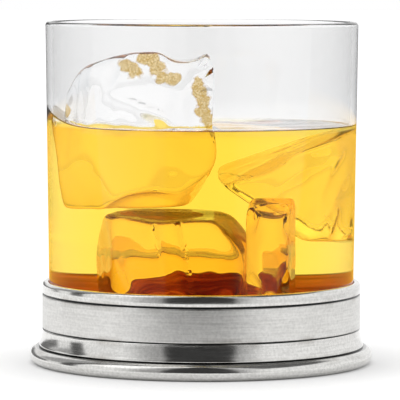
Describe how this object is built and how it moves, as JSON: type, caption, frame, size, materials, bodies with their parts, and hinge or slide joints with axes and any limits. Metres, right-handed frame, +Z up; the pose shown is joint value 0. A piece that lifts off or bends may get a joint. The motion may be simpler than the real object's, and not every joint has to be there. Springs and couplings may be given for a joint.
{
  "type": "double old fashioned glass",
  "caption": "Straight-sided clear tumbler bedded in a turned pewter base with a round foot, holding an amber drink over melting ice.",
  "frame": {"origin": "centre of the foot on the table, at the bottom centre of the bounding box", "axes": "+Z up along the axis of the turned base, -Y towards the viewer, +X to the viewer's right"},
  "size_m": [0.0916, 0.0916, 0.091],
  "materials": {
    "pewter": "satin",
    "adhesive": "satin",
    "crystal": "polished",
    "spirit": "polished",
    "ice": "polished"
  },
  "bodies": {
    "root": {"pewter_base": "pewter", "bedding_adhesive": "adhesive", "tumbler": "crystal", "drink": "spirit", "ice_upper_left": "ice", "ice_right": "ice", "ice_lower_front": "ice", "ice_lower_right": "ice", "ice_lower_back": "ice"}
  },
  "joints": []
}
